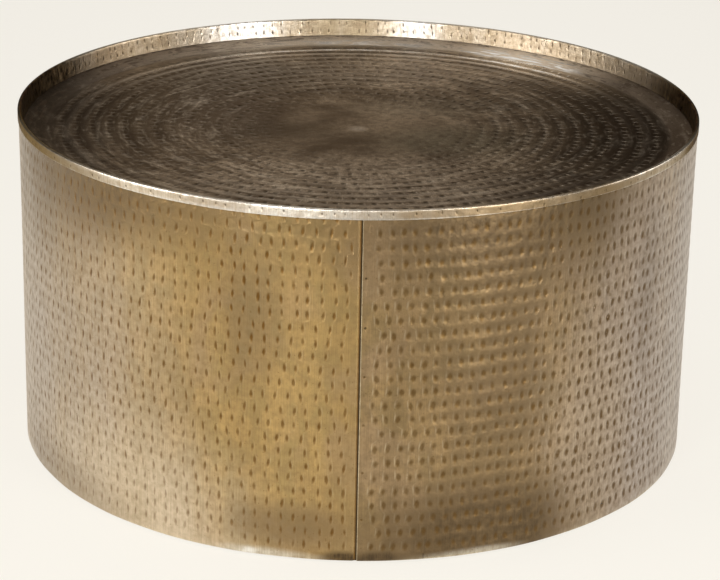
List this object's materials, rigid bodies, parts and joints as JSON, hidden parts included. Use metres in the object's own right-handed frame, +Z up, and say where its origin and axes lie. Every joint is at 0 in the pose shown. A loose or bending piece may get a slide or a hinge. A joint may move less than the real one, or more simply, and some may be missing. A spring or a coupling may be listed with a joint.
{
  "type": "coffee table",
  "caption": "Round hammered-brass drum coffee table with a shallow dished tray top that lifts off the riveted drum.",
  "frame": {"origin": "on the ground, at the middle of the drum", "axes": "+Z up along the drum's axis, -Y towards the front seam, +X to the right seen from the front"},
  "size_m": [0.8, 0.8, 0.405],
  "materials": {
    "hammered_brass": "antiqued, hammered, satin lacquer",
    "tray_brass": "dark patina, hammered in rings",
    "seam_rivet": "flush, darkened",
    "frame_steel": "satin black paint",
    "glide_nylon": "matte black",
    "screw_steel": "zinc plated"
  },
  "bodies": {
    "drum": {"right_drum_panel": "hammered_brass", "left_drum_panel": "hammered_brass", "front_seam_rivet_1": "seam_rivet", "front_seam_rivet_2": "seam_rivet", "front_seam_rivet_3": "seam_rivet", "front_seam_rivet_4": "seam_rivet", "front_seam_rivet_5": "seam_rivet", "front_seam_rivet_6": "seam_rivet", "back_seam_rivet_1": "seam_rivet", "back_seam_rivet_2": "seam_rivet", "back_seam_rivet_3": "seam_rivet", "back_seam_rivet_4": "seam_rivet", "back_seam_rivet_5": "seam_rivet", "back_seam_rivet_6": "seam_rivet", "upper_ring": "frame_steel", "lower_ring": "frame_steel", "cross_bar_side_to_side": "frame_steel", "cross_bar_front_to_back": "frame_steel", "bar_rivet_1": "frame_steel", "bar_rivet_2": "frame_steel", "bar_rivet_3": "frame_steel", "bar_rivet_4": "frame_steel", "centre_rivet": "frame_steel", "glide_1": "glide_nylon", "glide_2": "glide_nylon", "glide_3": "glide_nylon", "glide_4": "glide_nylon", "glide_5": "glide_nylon", "glide_6": "glide_nylon", "glide_screw_1": "screw_steel", "glide_screw_2": "screw_steel", "glide_screw_3": "screw_steel", "glide_screw_4": "screw_steel", "glide_screw_5": "screw_steel", "glide_screw_6": "screw_steel"},
    "tray": {"tray_floor": "tray_brass", "rim_hoop": "hammered_brass"}
  },
  "joints": [
    {"name": "tray_lift", "type": "slide", "parent": "drum", "child": "tray", "axis": [0, 0, 1], "range_m": [0, 0.08]}
  ]
}
